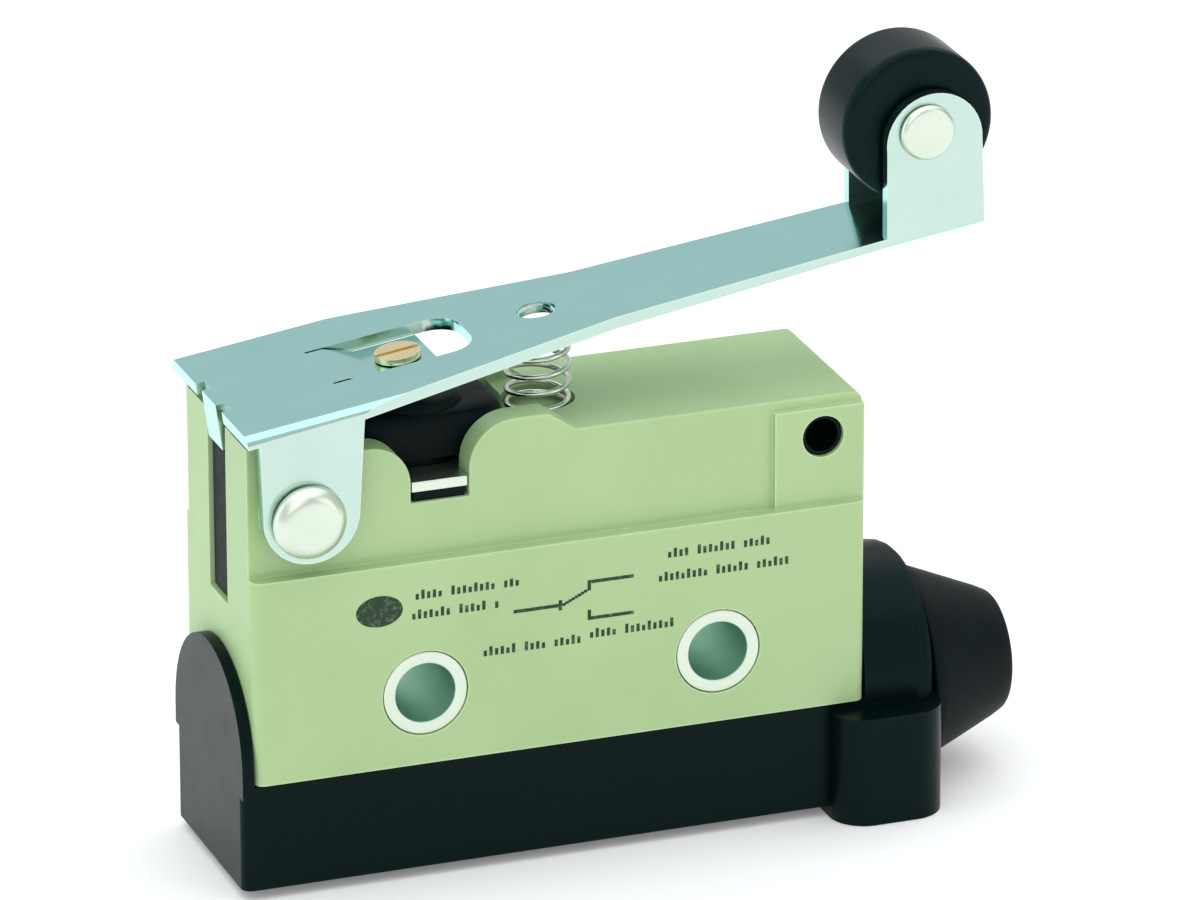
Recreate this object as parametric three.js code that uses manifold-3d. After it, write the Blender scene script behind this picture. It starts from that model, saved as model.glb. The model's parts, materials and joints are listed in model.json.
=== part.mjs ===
// Horizontal enclosed limit switch with a hinge roller lever.
//
// Frame: millimetres, +Z up. The origin is on the rear mounting face, midway between the two
// mounting holes. +X runs towards the roller and the cable gland, +Y points out of the rear face.
// The lever group is turned about the pivot pin: inside it u runs along the lever from the pin
// and v stands square to the lever's plate.

import * as THREE from 'three';
import { mergeVertices } from 'three/addons/utils/BufferGeometryUtils.js';
import Module from 'manifold-3d';

const wasm = await Module();
wasm.setup();

// ---------------------------------------------------------------- driving sizes

// housing
const bodyLength = 53.0;
const bodyDepth = 18.0;
const lowerHeight = 17.7;
const deckHeight = 27.0;
const upperInset = 1.2;
const cornerRadius = 0.9;
const holePitch = 25.4;
const holeFromLeft = 14.6;
const holeRise = 6.2;
const holeDiameter = 5.1;
const lowerWall = 1.8;
const upperWall = 1.5;
const endWall = 2.0;
const roofThickness = 2.0;
const troughWall = 2.5;
const stopLandLength = 3.4;
const stopLandGap = 0.8;
const bufferInset = 0.3;
const sleeveWall = 0.3;
const sleeveInset = 0.3;
const wallTopHeight = 27.6;
const bumpHeight = 28.6;
const bumpLength = 2.9;
const bumpSlope = 2.4;
const padRaise = 0.5;
const padLength = 7.8;
const crossHoleDiameter = 3.6;
const crossHoleInset = 3.6;
const crossHoleDrop = 3.4;
const slotWidth = 4.6;
const slotLength = 6.2;
const slotFloorRise = 13.5;
const catchDepth = 0.5;
const catchWidth = 5.0;
const catchHeight = 2.0;
const catchRise = 2.7;

// boot notch, centred on the plunger
const plungerFromLeft = 16.4;
const notchFloorRise = 22.4;
const notchWidth = 5.0;
const notchLeftRadius = 3.5;
const notchRightRadius = 3.9;
const troughLeftReach = 8.2;
const troughRightReach = 8.5;

// mounting bushes
const bushFlangeDiameter = 7.2;
const bushFlangeThickness = 0.5;
const bushWall = 0.75;
const bossWall = 1.1;

// lever
const pivotFromLeft = 4.4;
const pivotRise = 23.1;
const leverTilt = THREE.MathUtils.degToRad(8);
const sheet = 1.0;
const plateTop = 8.2;
const pivotBossRadius = 3.4;
const pivotBossRaise = 0.85;
const leverHeel = 3.9;
const earToe = 6.0;
const earHeel = 2.9;
const earRadius = 4.1;
const earForward = 0.4;
const earLift = 0.2;
const earFlank = THREE.MathUtils.degToRad(-12);
const leverStraight = 6.0;
const waistStation = 29.4;
const waistWidth = 11.2;
const forkStation = 53.1;
const forkWidth = 9.6;
const leverReach = 62.1;
const windowStart = 5.6;
const windowEnd = 18.2;
const windowWidth = 7.6;
const windowCorner = 2.4;
const tongueRoot = 1.4;
const tongueOverlap = 0.6;
const tongueWidth = 7.0;
const tongueEnd = 15.0;
const tongueFlat = 9.6;
const tongueDrop = 0.9;
const screwStation = 12.3;
const springStation = 24.4;
const springHole = 3.3;
const lipWidth = 3.6;
const lipDepth = 3.0;
const reliefWidth = 1.6;
const reliefDepth = 0.8;
const pivotPinDiameter = 3.0;
const pivotHeadDiameter = 6.2;
const pivotHeadThickness = 1.4;
const pivotHeadEdge = 0.8;
const pivotTailDiameter = 4.6;
const pivotTailThickness = 0.6;

// roller
const rollerStation = 58.1;
const rollerRise = 16.6;
const rollerDiameter = 13.1;
const rollerWidth = 6.6;
const rollerEdge = 0.6;
const forkEarRadius = 4.2;
const forkEarStart = 0.3;
const forkEarForward = 0.6;
const forkEarLower = 1.1;
const rollerPinDiameter = 2.4;
const rollerHeadDiameter = 4.7;
const rollerHeadThickness = 0.6;

// adjusting screw and its nut
const adjusterDiameter = 2.6;
const adjusterHeadDiameter = 3.8;
const adjusterHeadThickness = 0.5;
const adjusterSlotWidth = 0.6;
const adjusterSlotDepth = 0.3;
const adjusterNutDiameter = 4.4;
const adjusterNutThickness = 0.9;
const adjusterTip = 4.9;

// return spring
const springDiameter = 5.6;
const springWire = 0.5;
const springTurns = 5.2;
const springDeadTurn = 0.75;
const springSeatDepth = 1.0;

// boot, its retainer and the plunger
const bootFlange = 0.7;
const retainerThickness = 0.9;
const bootNeckDiameter = 8.6;
const bootSkin = 1.0;
const bootLength = 14.4;
const bootCorner = 3.5;
const bootNeckHeight = 0.5;
const bootCrown = 0.8;
const plungerDiameter = 4.6;
const plungerHeadDiameter = 6.4;
const plungerHeadThickness = 1.4;
const plungerTipRadius = 1.0;
const plungerFreeTravel = 2.3;

// contacts
const strip = 0.8;
const stripWidth = 4.0;
const bladeThickness = 0.3;
const bladeWidth = 5.0;
const bladeOverhang = 2.0;
const contactFromLeft = 41.4;
const stripMargin = 0.5;
const bladeWindowStart = 4.0;
const bladeWindowMargin = 6.0;
const bladeWindowWidth = 2.8;
const snapSpringRise = 2.2;
const snapSpringWidth = 2.2;
const rivetDiameter = 1.6;
const rivetHeadDiameter = 3.0;
const rivetHeadThickness = 0.5;
const rivetTail = 0.4;
const contactDiameter = 3.0;
const contactHeight = 0.8;
const contactGap = 1.0;
const movingContactHeight = 2.0;
const openRiserFromLeft = 27.4;
const closedRiserFromLeft = 47.4;
const terminalPadWidth = 8.0;
const terminalPadThickness = 0.7;
const terminalScrewInset = 3.2;
const terminalScrewDiameter = 3.4;
const terminalHeadDiameter = 6.0;
const terminalHeadThickness = 1.8;
const terminalHeadEdge = 0.5;
const terminalSlotWidth = 1.0;
const terminalSlotDepth = 0.8;
const washerDiameter = 6.6;
const washerThickness = 0.6;
const blockThickness = 1.5;

// terminal cover and cable gland
const coverDrop = 9.2;
const coverInset = 0.2;
const coverWall = 1.9;
const coverFloor = 1.4;
const archThickness = 1.0;
const archRadius = 8.9;
const archRise = 9.7;
const hoodLength = 6.5;
const hoodFillet = 1.8;
const blockLength = 9.7;
const blockWidth = 24.0;
const blockHeight = 9.5;
const blockDrop = 10.1;
const blockCorner = 3.0;
const coverLip = 0.7;
const gasketThickness = 0.6;
const glandDrop = 1.1;
const glandRootRadius = 8.3;
const glandEndRadius = 5.0;
const glandLength = 8.3;
const glandBore = 8.0;
const glandNeckWall = 1.2;
const glandFlangeReach = 1.2;
const glandFlangeThickness = 1.0;
const glandRim = 0.8;
const glandTipChamfer = 1.4;

// clearances
const touch = 0.1;
const fit = 0.15;
const running = 0.25;
const turnedGap = 0.3;
const stripGap = 0.4;
const beyond = 1.0;

// ---------------------------------------------------------------- derived places

const left = -(holePitch / 2 + holeFromLeft);
const right = left + bodyLength;
const bottom = -holeRise;
const ledge = bottom + lowerHeight;
const deck = bottom + deckHeight;
const front = -bodyDepth;
const middle = front / 2;
const upperFront = front + upperInset;
const upperRear = -upperInset;
const pivotX = left + pivotFromLeft;
const pivotZ = bottom + pivotRise;
const plungerX = left + plungerFromLeft;
const notchFloor = bottom + notchFloorRise;
const wallTop = bottom + wallTopHeight;
const bumpTop = bottom + bumpHeight;
const troughLeft = plungerX - troughLeftReach;
const troughRight = plungerX + troughRightReach;
const troughFront = upperFront + troughWall;
const troughRear = upperRear - troughWall;
const slotFloor = bottom + slotFloorRise;
const slotEnd = left + slotLength;
const plateUnder = plateTop - sheet;
const cavityRoof = notchFloor - roofThickness;
const cavityStep = ledge - upperWall;
const cavityLeft = left + endWall;
const cavityRight = right - endWall;
const coverTop = bottom - touch;
const coverBottom = bottom - coverDrop;
const coverLeft = left - touch - archThickness;
const hoodStart = right + touch;
const hoodEnd = hoodStart + hoodLength;
const archCentre = bottom + archRise - archRadius;
const glandZ = bottom - glandDrop;
const pivotBossFront = upperFront - pivotBossRaise;
const pivotBossRear = upperRear + pivotBossRaise;
const leverWidth = pivotBossRear - pivotBossFront + 2 * (running + sheet);

// where a point of the lever lies in the row's frame at rest
const leverX = (u, v) => pivotX + u * Math.cos(leverTilt) - v * Math.sin(leverTilt);
const leverZ = (u, v) => pivotZ + u * Math.sin(leverTilt) + v * Math.cos(leverTilt);

// ---------------------------------------------------------------- materials

const material = (color, roughness, metalness) =>
  new THREE.MeshStandardMaterial({ color, roughness, metalness });

const cream = material(0xb4c79b, 0.45, 0);
const blackPlastic = material(0x101c1f, 0.5, 0);
const rubber = material(0x0c1416, 0.75, 0);
const carrierBrown = material(0x4a2a1c, 0.55, 0);
const zincSteel = material(0xb4cdd2, 0.32, 1);
const brightSteel = material(0xe2e6e4, 0.28, 1);
const springSteel = material(0x8e9490, 0.35, 1);
const brass = material(0xc6a65a, 0.35, 1);
const silver = material(0xd9dad8, 0.3, 1);
const rollerBlack = material(0x11191b, 0.42, 0);
const plungerWhite = material(0xdedbd0, 0.5, 0);

// ---------------------------------------------------------------- solid helpers

// closed three.js geometry to a solid, with its faces pointing out
function solid(geometry) {
  const plain = geometry.clone();
  plain.deleteAttribute('normal');
  plain.deleteAttribute('uv');
  const merged = mergeVertices(plain, 1e-5);
  const places = merged.attributes.position.array;
  const corners = merged.index.array;
  const kept = [];
  let volume = 0;
  const a = new THREE.Vector3();
  const b = new THREE.Vector3();
  const c = new THREE.Vector3();
  for (let i = 0; i < corners.length; i += 3) {
    const [p, q, r] = corners.slice(i, i + 3);
    if (p === q || q === r || r === p) continue;
    kept.push(p, q, r);
    a.fromArray(places, 3 * p);
    b.fromArray(places, 3 * q);
    c.fromArray(places, 3 * r);
    volume += a.dot(b.cross(c));
  }
  if (volume < 0) kept.reverse();
  const triVerts = new Uint32Array(kept);
  const vertProperties = new Float32Array(places);
  return new wasm.Manifold(new wasm.Mesh({ numProp: 3, vertProperties, triVerts }));
}

function mesh(name, shape, look) {
  const data = shape.getMesh();
  const geometry = new THREE.BufferGeometry();
  geometry.setAttribute('position', new THREE.BufferAttribute(data.vertProperties, 3));
  geometry.setIndex(new THREE.BufferAttribute(data.triVerts, 1));
  geometry.computeVertexNormals();
  const made = new THREE.Mesh(geometry, look);
  made.name = name;
  return made;
}

function box(x0, x1, y0, y1, z0, z1) {
  const geometry = new THREE.BoxGeometry(x1 - x0, y1 - y0, z1 - z0);
  return solid(geometry.translate((x0 + x1) / 2, (y0 + y1) / 2, (z0 + z1) / 2));
}

// an outline in X and Z, drawn through the depth from y0 to y1
function throughY(outline, y0, y1, curveSegments = 6) {
  const geometry = new THREE.ExtrudeGeometry(outline,
    { depth: y1 - y0, bevelEnabled: false, curveSegments });
  return solid(geometry.rotateX(Math.PI / 2).translate(0, y1, 0));
}

// an outline in X and Y, drawn up from z0 to z1
function throughZ(outline, z0, z1, curveSegments = 6) {
  const geometry = new THREE.ExtrudeGeometry(outline,
    { depth: z1 - z0, bevelEnabled: false, curveSegments });
  return solid(geometry.translate(0, 0, z0));
}

// an outline in Y and Z, drawn along from x0 to x1
function throughX(outline, x0, x1, curveSegments = 12) {
  const geometry = new THREE.ExtrudeGeometry(outline,
    { depth: x1 - x0, bevelEnabled: false, curveSegments });
  const turn = new THREE.Matrix4().set(0, 0, 1, 0, 1, 0, 0, 0, 0, 1, 0, 0, 0, 0, 0, 1);
  return solid(geometry.applyMatrix4(turn).translate(x0, 0, 0));
}

// a turned piece: pairs of radius and height, about a line along X, Y or Z
function turned(profile, axis, centre, segments = 28) {
  const points = profile.map(([radius, height]) => new THREE.Vector2(radius, height));
  const geometry = new THREE.LatheGeometry(points, segments);
  if (axis === 'z') geometry.rotateX(Math.PI / 2);
  if (axis === 'x') geometry.rotateZ(-Math.PI / 2);
  return solid(geometry.translate(...centre));
}

function rodX(radius, x0, x1, y, z, segments) {
  return turned([[0, x0], [radius, x0], [radius, x1], [0, x1]], 'x', [0, y, z], segments);
}

function rodY(radius, y0, y1, x, z, segments) {
  return turned([[0, y0], [radius, y0], [radius, y1], [0, y1]], 'y', [x, 0, z], segments);
}

function rodZ(radius, z0, z1, x, y, segments) {
  return turned([[0, z0], [radius, z0], [radius, z1], [0, z1]], 'z', [x, y, 0], segments);
}

function roundedRectangle(x0, x1, y0, y1, radius) {
  const outline = new THREE.Shape();
  outline.moveTo(x0 + radius, y0);
  outline.lineTo(x1 - radius, y0);
  outline.absarc(x1 - radius, y0 + radius, radius, -Math.PI / 2, 0);
  outline.lineTo(x1, y1 - radius);
  outline.absarc(x1 - radius, y1 - radius, radius, 0, Math.PI / 2);
  outline.lineTo(x0 + radius, y1);
  outline.absarc(x0 + radius, y1 - radius, radius, Math.PI / 2, Math.PI);
  outline.lineTo(x0, y0 + radius);
  outline.absarc(x0 + radius, y0 + radius, radius, Math.PI, Math.PI * 1.5);
  return outline;
}

function polygon(points) {
  return new THREE.Shape(points.map(([x, y]) => new THREE.Vector2(x, y)));
}

// ---------------------------------------------------------------- housing

const bushOuter = holeDiameter / 2 + bushWall;
const bossRadius = bushOuter + touch + bossWall;
const holes = [-holePitch / 2, holePitch / 2];
const blockTop = -bossRadius - fit;
const blockUnder = blockTop - blockThickness;
const stopLand = leverZ(-leverHeel, plateUnder) - stopLandGap;
const springX = leverX(springStation, plateUnder);
const springSeat = deck - springSeatDepth;

// side view of the upper walls, with the rounded notch round the plunger
function wallOutline() {
  const outline = new THREE.Shape();
  const leftArc = plungerX - notchWidth / 2 - notchLeftRadius;
  const rightArc = plungerX + notchWidth / 2 + notchRightRadius;
  outline.moveTo(left, ledge - upperWall);
  outline.lineTo(left, stopLand);
  outline.lineTo(left + stopLandLength, stopLand);
  outline.lineTo(left + stopLandLength + (stopLand - wallTop) / 2, wallTop);
  outline.lineTo(leftArc, wallTop);
  outline.absarc(leftArc, wallTop - notchLeftRadius, notchLeftRadius, Math.PI / 2, 0, true);
  outline.lineTo(plungerX - notchWidth / 2, notchFloor);
  outline.lineTo(plungerX + notchWidth / 2, notchFloor);
  outline.lineTo(plungerX + notchWidth / 2, bumpTop - notchRightRadius);
  outline.absarc(rightArc, bumpTop - notchRightRadius, notchRightRadius, Math.PI, Math.PI / 2, true);
  outline.lineTo(rightArc + bumpLength, bumpTop);
  outline.lineTo(rightArc + bumpLength + bumpSlope, deck);
  outline.lineTo(right - cornerRadius, deck);
  outline.absarc(right - cornerRadius, deck - cornerRadius, cornerRadius, Math.PI / 2, 0, true);
  outline.lineTo(right, ledge - upperWall);
  return outline;
}

function makeHousing() {
  const lowerPlan = roundedRectangle(left, right, front, 0, cornerRadius);
  const padZ = deck - cornerRadius;
  const padStart = right - padLength;
  let body = throughZ(lowerPlan, bottom, ledge)
    .add(throughY(wallOutline(), upperFront, upperRear))
    .add(box(padStart, right, upperFront - padRaise, upperRear + padRaise, ledge - upperWall, padZ))
    .add(rodY(pivotBossRadius, pivotBossFront, pivotBossRear, pivotX, pivotZ));

  // the deck lies low between the walls, and the trough holds the boot
  body = body
    .subtract(box(troughLeft, right - endWall, troughFront, troughRear, deck, bumpTop + beyond))
    .subtract(box(troughLeft, troughRight, troughFront, troughRear, notchFloor, bumpTop + beyond))
    .subtract(box(left - beyond, slotEnd, middle - slotWidth / 2, middle + slotWidth / 2,
      slotFloor, stopLand + beyond))
    .subtract(rodY(pivotPinDiameter / 2 + touch, front - beyond, beyond, pivotX, pivotZ))
    .subtract(rodY(crossHoleDiameter / 2, front - beyond, beyond,
      right - crossHoleInset, deck - crossHoleDrop))
    .subtract(rodZ(plungerDiameter / 2 + running, cavityRoof - beyond, notchFloor + beyond, plungerX, middle))
    .subtract(rodZ(springDiameter / 2 + turnedGap, springSeat, deck + beyond, springX, middle));

  // mechanism cavity, open below
  const hollow = box(cavityLeft, cavityRight, front + lowerWall, -lowerWall,
    bottom - beyond, slotFloor - upperWall)
    .add(box(slotEnd + upperWall, cavityRight, front + lowerWall, -lowerWall,
      bottom - beyond, cavityStep))
    .add(box(slotEnd + upperWall, cavityRight, upperFront + upperWall, upperRear - upperWall,
      bottom - beyond, cavityRoof));
  body = body.subtract(hollow);

  // round bosses carry the bushes across the cavity
  const flangeSeat = bushFlangeDiameter / 2 + touch;
  for (const x of holes) {
    body = body
      .add(rodY(bossRadius, front + lowerWall / 2, -lowerWall / 2, x, 0))
      .subtract(rodY(bushOuter + touch, front - beyond, beyond, x, 0))
      .subtract(rodY(flangeSeat, front - beyond, front + bushFlangeThickness + touch, x, 0))
      .subtract(rodY(flangeSeat, -bushFlangeThickness - touch, beyond, x, 0));
  }

  // a catch on each end face holds the terminal cover
  const catchZ = bottom + catchRise;
  body = body
    .add(box(left - catchDepth, left + endWall / 2, middle - catchWidth / 2, middle + catchWidth / 2,
      catchZ, catchZ + catchHeight))
    .add(box(right - endWall / 2, right + catchDepth, middle - catchWidth / 2, middle + catchWidth / 2,
      catchZ, catchZ + catchHeight));
  return mesh('housing', body, cream);
}

function makeBush(name, x) {
  const outer = bushFlangeDiameter / 2;
  const inner = holeDiameter / 2;
  const faceGap = touch / 2;
  const profile = [
    [inner, front + faceGap], [outer, front + faceGap],
    [outer, front + bushFlangeThickness], [bushOuter, front + bushFlangeThickness],
    [bushOuter, -bushFlangeThickness], [outer, -bushFlangeThickness],
    [outer, -faceGap], [inner, -faceGap], [inner, front + faceGap],
  ];
  return mesh(name, turned(profile, 'y', [x, 0, 0], 32), brightSteel);
}

// a rubber block in the end slot, on which the lever's lip comes to rest
function makeStopBuffer() {
  const top = leverZ(-leverHeel, plateUnder - lipDepth) - turnedGap;
  const halfWidth = slotWidth / 2 - touch;
  const inner = pivotX - pivotPinDiameter / 2 - turnedGap;
  const shape = box(left + bufferInset, inner, middle - halfWidth, middle + halfWidth, slotFloor + touch, top);
  return mesh('stop_buffer', shape, rubber);
}

// lines the cross hole from face to face
function makeCrossSleeve() {
  const outer = crossHoleDiameter / 2 - touch;
  const inner = outer - sleeveWall;
  const start = upperFront - padRaise + sleeveInset;
  const end = upperRear + padRaise - sleeveInset;
  const profile = [[inner, start], [outer, start], [outer, end], [inner, end], [inner, start]];
  const centre = [right - crossHoleInset, 0, deck - crossHoleDrop];
  return mesh('cross_hole_sleeve', turned(profile, 'y', centre), blackPlastic);
}

// ---------------------------------------------------------------- contacts and terminals

// heights stack up from the bosses: open arm, open contact, travel, blade, closed contact, closed arm
const openArm = bossRadius + running + touch / 2;
const openFace = openArm + strip + touch + contactHeight;
const movingBottom = openFace + contactGap + fit;
const movingTop = movingBottom + movingContactHeight;
const closedFace = movingTop + fit;
const bladeZ = (movingBottom + movingTop - bladeThickness) / 2;
const bladeTop = bladeZ + bladeThickness;
const contactX = left + contactFromLeft;
const commonX = holes[0] - bossRadius - stripGap - strip / 2;
const openX = left + openRiserFromLeft;
const closedX = left + closedRiserFromLeft;
const padTop = blockUnder - touch;
const padUnder = padTop - terminalPadThickness;
const armReach = contactDiameter / 2 + stripMargin;
const stripFront = middle - stripWidth / 2;
const stripRear = middle + stripWidth / 2;
const screwHole = terminalScrewDiameter / 2 + fit;
const rivetHole = rivetDiameter / 2 + touch;
const terminalScrewX = (riser) => riser - terminalScrewInset;
const bladeAnchorX = commonX + strip / 2 + bladeOverhang / 2;
const commonArm = bladeZ - touch - strip;
const commonArmEnd = commonX + strip / 2 + bladeOverhang;
const closedArm = closedFace + contactHeight + touch;

// a strip folded up from its screw pad to the height of its arm
function terminal(name, riser, armStart, armEnd, armBottom, riveted) {
  const padEnd = riser + strip / 2;
  const padFront = middle - terminalPadWidth / 2;
  const padRear = middle + terminalPadWidth / 2;
  const padStart = terminalScrewX(riser) - washerDiameter / 2 - touch;
  let shape = box(padStart, padEnd, padFront, padRear, padUnder, padTop)
    .add(box(riser - strip / 2, padEnd, stripFront, stripRear, padUnder, armBottom + strip))
    .add(box(armStart, armEnd, stripFront, stripRear, armBottom, armBottom + strip))
    .subtract(rodZ(screwHole, padUnder - beyond, padTop + beyond, terminalScrewX(riser), middle));
  if (riveted) {
    shape = shape
      .subtract(rodZ(rivetHole, armBottom - beyond, armBottom + strip + beyond, bladeAnchorX, middle, 16));
  }
  return mesh(name, shape, brass);
}

function makeTerminalBlock() {
  let plate = box(cavityLeft + fit, cavityRight - fit, front + lowerWall + fit, -lowerWall - fit,
    blockUnder, blockTop);
  for (const riser of [commonX, openX, closedX]) {
    plate = plate
      .subtract(box(riser - strip / 2 - fit, riser + strip / 2 + fit, stripFront - fit, stripRear + fit,
        blockUnder - beyond, blockTop + beyond))
      .subtract(rodZ(screwHole, blockUnder - beyond, blockTop + beyond, terminalScrewX(riser), middle));
  }
  return mesh('terminal_block', plate, carrierBrown);
}

const washerTop = padUnder - touch;
const washerUnder = washerTop - washerThickness;
const headTop = washerUnder - touch;
const headUnder = headTop - terminalHeadThickness;

function makeTerminalScrew(name, x) {
  const head = terminalHeadDiameter / 2;
  const shank = terminalScrewDiameter / 2;
  const profile = [
    [0, headUnder], [head - terminalHeadEdge, headUnder], [head, headUnder + terminalHeadEdge],
    [head, headTop], [shank, headTop], [shank, blockTop - fit], [0, blockTop - fit],
  ];
  const slot = box(x - head, x + head, middle - terminalSlotWidth / 2, middle + terminalSlotWidth / 2,
    headUnder - beyond, headUnder + terminalSlotDepth);
  return mesh(name, turned(profile, 'z', [x, middle, 0], 20).subtract(slot), brightSteel);
}

function makeWasher(name, x) {
  const outer = washerDiameter / 2;
  const profile = [
    [screwHole, washerUnder], [outer, washerUnder], [outer, washerTop],
    [screwHole, washerTop], [screwHole, washerUnder],
  ];
  return mesh(name, turned(profile, 'z', [x, middle, 0], 20), brightSteel);
}

function makeContact(name, bottomFace, height) {
  return mesh(name, rodZ(contactDiameter / 2, bottomFace, bottomFace + height, contactX, middle, 20), silver);
}

const bladeWindowLeft = plungerX + bladeWindowStart;
const bladeWindowRight = contactX - bladeWindowMargin;

// the blade has a window for the snap spring and a hole for the moving contact
function makeBlade() {
  const low = bladeZ - beyond;
  const high = bladeTop + beyond;
  const blade = box(commonX - strip / 2, contactX + armReach, middle - bladeWidth / 2,
    middle + bladeWidth / 2, bladeZ, bladeTop)
    .subtract(box(bladeWindowLeft, bladeWindowRight, middle - bladeWindowWidth / 2,
      middle + bladeWindowWidth / 2, low, high))
    .subtract(rodZ(rivetHole, low, high, bladeAnchorX, middle, 16))
    .subtract(rodZ(contactDiameter / 4 + touch, low, high, contactX, middle, 16));
  return mesh('contact_blade', blade, brass);
}

function makeMovingContact() {
  const outer = contactDiameter / 2;
  const waist = contactDiameter / 4;
  const profile = [
    [0, movingBottom], [outer, movingBottom], [outer, bladeZ - touch / 2], [waist, bladeZ - touch / 2],
    [waist, bladeTop + touch / 2], [outer, bladeTop + touch / 2], [outer, movingTop], [0, movingTop],
  ];
  return mesh('moving_contact', turned(profile, 'z', [contactX, middle, 0], 20), silver);
}

// a bowed strip inside the blade's window
function makeSnapSpring() {
  const start = bladeWindowLeft + turnedGap;
  const end = bladeWindowRight - turnedGap;
  const half = (end - start) / 2;
  const radius = (half * half + snapSpringRise * snapSpringRise) / (2 * snapSpringRise);
  const angle = Math.asin(half / radius);
  const centreX = (start + end) / 2;
  const centreZ = bladeZ + snapSpringRise - radius;
  const innerRadius = radius - bladeThickness;
  const outline = new THREE.Shape();
  outline.absarc(centreX, centreZ, radius, Math.PI / 2 + angle, Math.PI / 2 - angle, true);
  outline.absarc(centreX, centreZ, innerRadius, Math.PI / 2 - angle, Math.PI / 2 + angle, false);
  const shape = throughY(outline, middle - snapSpringWidth / 2, middle + snapSpringWidth / 2, 8);
  return mesh('snap_spring', shape, springSteel);
}

function makeBladeRivet() {
  const tail = commonArm - rivetTail;
  const seat = bladeTop + touch;
  const crown = seat + rivetHeadThickness;
  const shank = rivetDiameter / 2;
  const head = rivetHeadDiameter / 2;
  const profile = [
    [0, tail], [shank, tail], [shank, seat], [head, seat], [head, crown], [0, crown],
  ];
  return mesh('blade_rivet', turned(profile, 'z', [bladeAnchorX, middle, 0], 16), brass);
}

// ---------------------------------------------------------------- plunger, boot and retainer

const flangeBottom = notchFloor + touch / 2;
const flangeTop = flangeBottom + bootFlange;
const retainerBottom = flangeTop + touch;
const retainerTop = retainerBottom + retainerThickness;
const bootTop = leverZ(screwStation, adjusterTip) - turnedGap;
const plungerTop = bootTop - bootSkin - touch;
const plungerTip = bladeTop + plungerFreeTravel;

// flange shape shared by the boot and its steel retainer: a block with a tab through each notch
function flangePlan(gap) {
  const x0 = troughLeft + gap;
  const x1 = troughRight - gap;
  const y0 = troughFront + gap;
  const y1 = troughRear - gap;
  const tabLeft = plungerX - notchWidth / 2 + gap;
  const tabRight = plungerX + notchWidth / 2 - gap;
  return polygon([
    [x0, y0], [tabLeft, y0], [tabLeft, upperFront + gap], [tabRight, upperFront + gap], [tabRight, y0],
    [x1, y0], [x1, y1], [tabRight, y1], [tabRight, upperRear - gap], [tabLeft, upperRear - gap],
    [tabLeft, y1], [x0, y1],
  ]);
}

function makeBoot() {
  const neck = bootNeckDiameter / 2;
  const reach = bootLength / 2;
  const halfDepth = (troughRear - troughFront) / 2 - turnedGap;
  const neckTop = retainerTop + bootNeckHeight;
  const plan = roundedRectangle(plungerX - reach, plungerX + reach, middle - halfDepth, middle + halfDepth,
    bootCorner);
  const inner = plungerHeadDiameter / 2 + running;
  const hollow = turned([
    [0, notchFloor - beyond], [inner, notchFloor - beyond], [inner, bootTop - bootSkin],
    [0, bootTop - bootSkin],
  ], 'z', [plungerX, middle, 0]);
  const shape = throughZ(flangePlan(turnedGap), flangeBottom, flangeTop)
    .add(rodZ(neck, flangeBottom, bootTop - bootCrown, plungerX, middle))
    .add(throughZ(plan, neckTop, bootTop - bootCrown))
    .add(rodZ(neck, neckTop, bootTop, plungerX, middle))
    .subtract(hollow);
  return mesh('rubber_boot', shape, rubber);
}

function makeRetainer() {
  const shape = throughZ(flangePlan(touch), retainerBottom, retainerTop)
    .subtract(rodZ(bootNeckDiameter / 2 + fit, retainerBottom - beyond, retainerTop + beyond,
      plungerX, middle));
  return mesh('boot_retainer', shape, brightSteel);
}

function makePlunger() {
  const stem = plungerDiameter / 2;
  const head = plungerHeadDiameter / 2;
  const profile = [
    [0, plungerTip], [stem - plungerTipRadius, plungerTip], [stem, plungerTip + plungerTipRadius],
    [stem, plungerTop - plungerHeadThickness], [head, plungerTop - plungerHeadThickness],
    [head, plungerTop], [0, plungerTop],
  ];
  return mesh('plunger', turned(profile, 'z', [plungerX, middle, 0], 24), plungerWhite);
}

// ---------------------------------------------------------------- return spring

function makeReturnSpring() {
  const radius = (springDiameter - springWire) / 2;
  const topFace = leverZ(springStation, plateUnder) - Math.sin(leverTilt) * springDiameter / 2 - turnedGap;
  const low = springSeat + touch + springWire / 2;
  const high = topFace - springWire / 2;
  const stepsPerTurn = 14;
  const places = [];
  const steps = Math.round(springTurns * stepsPerTurn);
  const open = high - low - 2 * springDeadTurn * (springWire + touch);
  for (let i = 0; i <= steps; i += 1) {
    const turn = i / stepsPerTurn;
    const share = THREE.MathUtils.clamp((turn - springDeadTurn) / (springTurns - 2 * springDeadTurn), 0, 1);
    const dead = Math.min(turn, springDeadTurn) + Math.max(0, turn - springTurns + springDeadTurn);
    const climb = (springWire + touch) * dead;
    const angle = 2 * Math.PI * turn;
    const x = springX + radius * Math.cos(angle);
    const y = middle + radius * Math.sin(angle);
    places.push(new THREE.Vector3(x, y, low + climb + share * open));
  }
  const wire = new THREE.Shape();
  wire.absarc(0, 0, springWire / 2, 0, 2 * Math.PI);
  const path = new THREE.CatmullRomCurve3(places);
  const geometry = new THREE.ExtrudeGeometry(wire, { steps: steps * 2, extrudePath: path, curveSegments: 3 });
  return mesh('return_spring', solid(geometry), springSteel);
}

// ---------------------------------------------------------------- lever

function makeLeverPlate() {
  const half = leverWidth / 2;
  const fork = forkWidth / 2;
  const waist = waistWidth / 2;
  return polygon([
    [-leverHeel, -half], [leverStraight, -half], [waistStation, -waist], [forkStation, -fork],
    [leverReach, -fork], [leverReach, fork], [forkStation, fork], [waistStation, waist],
    [leverStraight, half], [-leverHeel, half],
  ]);
}

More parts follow.
